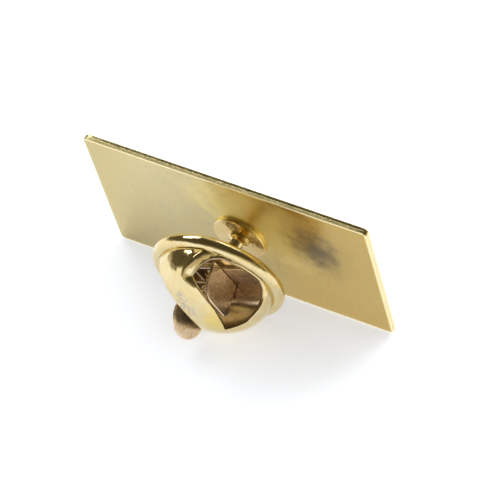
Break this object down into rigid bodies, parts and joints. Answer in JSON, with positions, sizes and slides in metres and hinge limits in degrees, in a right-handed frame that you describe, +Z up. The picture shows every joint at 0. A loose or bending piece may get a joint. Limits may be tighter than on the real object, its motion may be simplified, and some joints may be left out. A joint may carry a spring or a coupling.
{
  "type": "lapel pin",
  "caption": "Lapel pin with a plain rectangular gold-plated plate, a soldered post and a domed butterfly clutch whose spring wings squeeze to let go of the post.",
  "frame": {"origin": "middle of the footprint, on the surface the pin rests on", "axes": "+X along the plate's long side, +Y away from the clutch, +Z up"},
  "size_m": [0.027, 0.0117, 0.0139],
  "materials": {
    "plate_gold": "satin gold plating",
    "cap_gold": "polished pale gold plating",
    "spring_gold": "polished gold plating"
  },
  "bodies": {
    "plate": {"plate": "plate_gold"},
    "clutch": {"cap": "cap_gold", "base_disc": "cap_gold", "spring_base": "spring_gold"},
    "near_wing": {"near_wing": "spring_gold"},
    "far_wing": {"far_wing": "spring_gold"}
  },
  "joints": [
    {"name": "clutch_slide", "type": "slide", "parent": "plate", "child": "clutch", "axis": [0, -0.937, -0.3494], "range_m": [-0.0006, 0.0036]},
    {"name": "near_wing_squeeze", "type": "hinge", "parent": "clutch", "child": "near_wing", "pos_m": [0.00149, -0.00192, 0.00645], "axis": [0.3197, 0.4165, -0.8511], "range_deg": [0, 7], "stiffness_Nm_per_rad": 0.1},
    {"name": "far_wing_squeeze", "type": "hinge", "parent": "clutch", "child": "far_wing", "pos_m": [-0.00083, -0.00115, 0.00396], "axis": [-0.3197, -0.4165, 0.8511], "range_deg": [0, 4], "stiffness_Nm_per_rad": 0.1}
  ]
}
